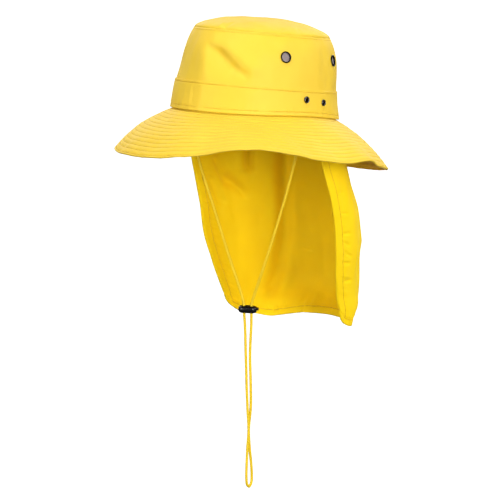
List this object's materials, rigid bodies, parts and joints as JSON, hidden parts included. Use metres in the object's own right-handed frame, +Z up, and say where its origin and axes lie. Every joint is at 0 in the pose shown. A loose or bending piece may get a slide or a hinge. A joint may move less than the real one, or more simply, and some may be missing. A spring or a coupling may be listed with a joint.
{
  "type": "wide-brim hat",
  "caption": "Wide-brim cotton sun hat with a stitched brim, hat band, vent eyelets, hanging neck flap and a chin cord with a spring cord lock.",
  "frame": {"origin": "middle of the head opening, at the seam of crown and brim, where the head sits", "axes": "+Z up, the front of the hat faces -Y, the wearer's left is +X; the crown is tilted back 8.4 degrees about X"},
  "size_m": [0.2966, 0.3126, 0.5339],
  "materials": {
    "cotton_twill": "matt bright yellow cotton twill",
    "flap_twill": "matt golden yellow cotton twill",
    "braided_cord": "braided round cord",
    "black_acetal": "glossy moulded black",
    "gunmetal": "dark gunmetal plating on brass",
    "vent_mesh": "fine woven mesh",
    "nickel": "bright nickel plating on brass"
  },
  "bodies": {
    "hat": {"crown_side": "cotton_twill", "crown_tip": "cotton_twill", "hat_band": "cotton_twill", "brim": "cotton_twill", "neck_flap": "flap_twill", "chin_cord": "braided_cord", "cord_lock_body": "black_acetal", "vent_eyelet_left_front": "gunmetal", "vent_eyelet_left_back": "gunmetal", "vent_eyelet_right_front": "gunmetal", "vent_eyelet_right_back": "gunmetal", "vent_screen_left_front": "vent_mesh", "vent_screen_left_back": "vent_mesh", "vent_screen_right_front": "vent_mesh", "vent_screen_right_back": "vent_mesh", "band_eyelet_left_front": "nickel", "band_eyelet_left_back": "nickel", "band_eyelet_right_front": "nickel", "band_eyelet_right_back": "nickel"},
    "button": {"cord_lock_button": "black_acetal"}
  },
  "joints": [
    {"name": "button_press", "type": "slide", "parent": "hat", "child": "button", "axis": [-0.9135, -0.4067, 0], "range_m": [0, 0.002], "stiffness_N_per_m": 1200}
  ]
}
